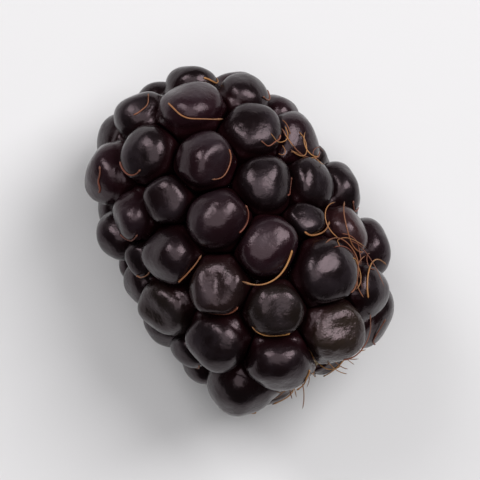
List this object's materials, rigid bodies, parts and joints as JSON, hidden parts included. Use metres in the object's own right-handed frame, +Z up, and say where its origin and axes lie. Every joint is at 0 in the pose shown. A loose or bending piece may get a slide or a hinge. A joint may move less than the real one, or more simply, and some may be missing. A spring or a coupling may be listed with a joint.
{
  "type": "bramble berry",
  "caption": "Ripe black bramble berry lying on its side, plump drupelets fused round their core, with the pale end of the receptacle at the stem end.",
  "frame": {"origin": "on the surface that the berry lies on, under the middle of its bounding box", "axes": "+Z up from that surface, +Y along the berry's longer side on the surface, with the tip towards +Y and a little towards -X, and the stem end towards -Y and +X"},
  "size_m": [0.0246, 0.0274, 0.0195],
  "materials": {
    "drupelet_skin": "ripe black-purple fruit skin, satin gloss with a soft mauve sheen",
    "receptacle_pith": "pale cream pith, matt and slightly moist"
  },
  "bodies": {
    "root": {"drupelets": "drupelet_skin", "receptacle": "receptacle_pith"}
  },
  "joints": []
}
